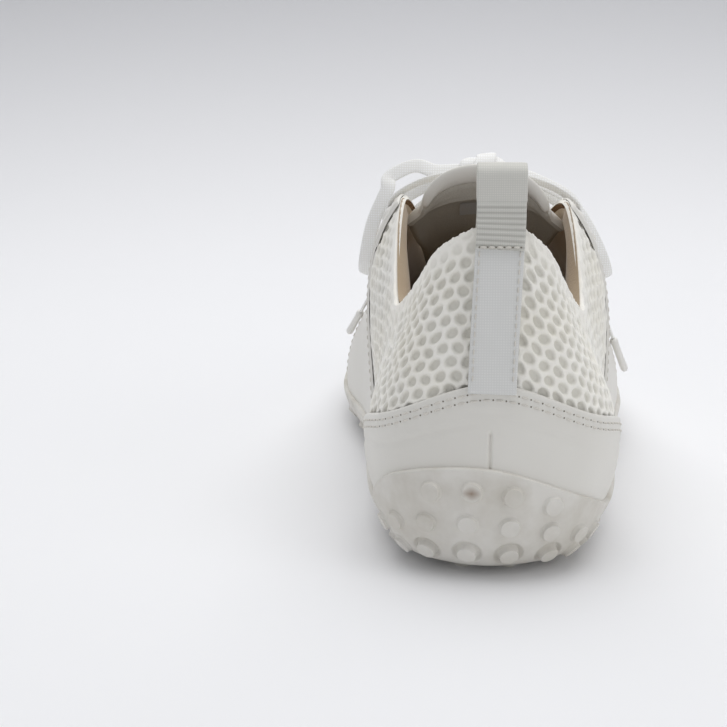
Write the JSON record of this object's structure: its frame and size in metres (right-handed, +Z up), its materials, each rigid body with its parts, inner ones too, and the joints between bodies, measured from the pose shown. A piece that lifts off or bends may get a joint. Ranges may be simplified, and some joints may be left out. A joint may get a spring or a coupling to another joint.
{
  "type": "running shoe",
  "caption": "Low running shoe for the right foot with a thin studded cup sole, open net upper with smooth panels, padded tongue, tied flat laces and a heel pull tab.",
  "frame": {"origin": "centre of the underside of the middle heel lug", "axes": "+Z up, +Y to the toe, +X to the outer (lateral) side of the right foot"},
  "size_m": [0.1098, 0.2795, 0.115],
  "materials": {
    "rubber": "matt off-white moulded rubber, slightly soiled between the lugs",
    "net": "thick knitted spacer net with round cells, creamy white",
    "panel": "smooth matt off-white synthetic leather",
    "lining": "beige brushed lining cloth",
    "foam": "raw brown cut edge of padding foam",
    "board": "pressed fibre board",
    "tape": "fine smooth woven tape, pale grey",
    "webbing": "ribbed webbing, pale grey",
    "lace": "flat woven white lace",
    "tip": "satin white plastic"
  },
  "bodies": {
    "shoe": {"outsole": "rubber", "strobel_board": "board", "net_quarter_lateral": "net", "net_vamp": "net", "net_quarter_medial": "net", "lining_quarter_lateral": "lining", "lining_vamp": "lining", "lining_quarter_medial": "lining", "heel_stiffener": "board", "collar_foam_lateral": "foam", "collar_foam_medial": "foam", "toe_puff": "board", "heel_counter": "panel", "toe_rand": "panel", "eyestay_lateral": "panel", "eyestay_medial": "panel", "side_overlay_lateral": "panel", "side_overlay_medial": "panel", "tongue_body": "panel", "tongue_lining": "lining", "tongue_label": "tape", "eyelet_lateral_1": "tip", "eyelet_lateral_2": "tip", "eyelet_lateral_3": "tip", "eyelet_lateral_4": "tip", "eyelet_lateral_5": "tip", "eyelet_lateral_6": "tip", "eyelet_medial_1": "tip", "eyelet_medial_2": "tip", "eyelet_medial_3": "tip", "eyelet_medial_4": "tip", "eyelet_medial_5": "tip", "eyelet_medial_6": "tip", "lace_bar_1": "lace", "lace_bar_2": "lace", "lace_bar_3": "lace", "lace_bar_4": "lace", "lace_bar_5": "lace", "lace_bar_6": "lace", "lace_knot": "lace", "bow_loop_lateral": "lace", "bow_loop_medial": "lace", "lace_end_lateral": "lace", "lace_end_medial": "lace", "aglet_lateral": "tip", "aglet_medial": "tip", "pull_tab_tape": "tape", "pull_tab_anchor": "tape"},
    "tongue_end": {"tongue_top": "panel", "tongue_binding": "panel"},
    "tab_loop": {"pull_tab_loop": "webbing"},
    "sock_liner": {"insole": "lining"}
  },
  "joints": [
    {"name": "tongue_fold", "type": "hinge", "parent": "shoe", "child": "tongue_end", "pos_m": [0, 0.0685, 0.0985], "axis": [-1, 0, 0], "range_deg": [0, 25], "stiffness_Nm_per_rad": 0.05},
    {"name": "pull_tab_fold", "type": "hinge", "parent": "shoe", "child": "tab_loop", "pos_m": [0, -0.0189, 0.0995], "axis": [1, 0, 0], "range_deg": [-25, 25], "stiffness_Nm_per_rad": 0.01},
    {"name": "insole_lift", "type": "hinge", "parent": "shoe", "child": "sock_liner", "pos_m": [0, 0.236, 0.0145], "axis": [-1, 0, 0], "range_deg": [0, 5]}
  ]
}
